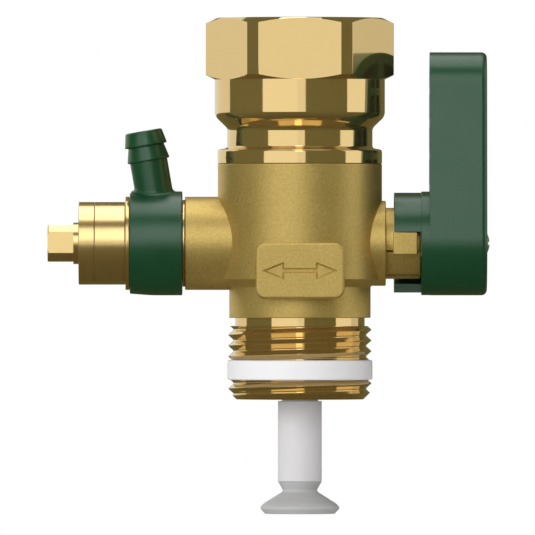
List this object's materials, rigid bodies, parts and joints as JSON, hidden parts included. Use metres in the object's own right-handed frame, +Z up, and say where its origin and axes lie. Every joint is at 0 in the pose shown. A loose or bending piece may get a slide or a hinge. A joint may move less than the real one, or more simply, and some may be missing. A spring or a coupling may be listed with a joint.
{
  "type": "flow-through valve",
  "caption": "Brass ball valve with a quarter-turn lever, a swivelling drain outlet and a dip tube, for flow through an expansion vessel.",
  "frame": {"origin": "centre of the spigot's end face, where the valve meets the vessel's connection", "axes": "+Z up along the waterway to the pipe socket, +X along the stem to the lever, -X to the drain, -Y out of the arrow plate"},
  "size_m": [0.0816, 0.0314, 0.0915],
  "materials": {
    "blasted_brass": "blasted",
    "polished_brass": "turned and polished",
    "chrome_plate": "chrome plated",
    "steel": "zinc plated",
    "green_plastic": "moulded",
    "white_plastic": "moulded",
    "pale_plastic": "extruded",
    "grey_plastic": "moulded",
    "seat_plastic": "turned",
    "black_rubber": "moulded"
  },
  "bodies": {
    "valve": {"valve_body": "blasted_brass", "end_connector": "polished_brass", "connector_o_ring": "black_rubber", "lower_seat": "seat_plastic", "upper_seat": "seat_plastic", "thread_seal_ring": "white_plastic", "tube_carrier": "white_plastic", "dip_tube": "pale_plastic", "flow_deflector": "grey_plastic", "stem_thrust_washer": "seat_plastic", "bonnet_spacer_washer": "polished_brass", "outlet_washer": "polished_brass", "drain_bonnet": "polished_brass", "drain_gland_nut": "polished_brass", "spindle_o_ring": "black_rubber"},
    "lever_and_ball": {"ball": "chrome_plate", "stem": "polished_brass", "stem_o_rings": "black_rubber", "lever": "green_plastic", "lever_screw": "steel"},
    "outlet": {"drain_outlet": "green_plastic", "outlet_o_rings": "black_rubber"},
    "spindle": {"drain_spindle": "polished_brass"},
    "plug": {"drain_plug": "polished_brass", "plug_seal": "black_rubber"}
  },
  "joints": [
    {"name": "lever_turn", "type": "hinge", "parent": "valve", "child": "lever_and_ball", "pos_m": [0.02, 0, 0.0288], "axis": [-1, 0, 0], "range_deg": [0, 90]},
    {"name": "outlet_swivel", "type": "hinge", "parent": "valve", "child": "outlet", "pos_m": [-0.02655, 0, 0.0288], "axis": [-1, 0, 0], "continuous": true},
    {"name": "spindle_turn", "type": "hinge", "parent": "valve", "child": "spindle", "pos_m": [-0.038, 0, 0.0288], "axis": [-1, 0, 0], "range_deg": [0, 720]},
    {"name": "plug_slide", "type": "slide", "parent": "valve", "child": "plug", "axis": [-1, 0, 0], "range_m": [0, 0.002]}
  ],
  "couplings": [
    {"joint": "spindle_turn", "follows": "plug_slide", "rad_per_m": 6283.2}
  ]
}
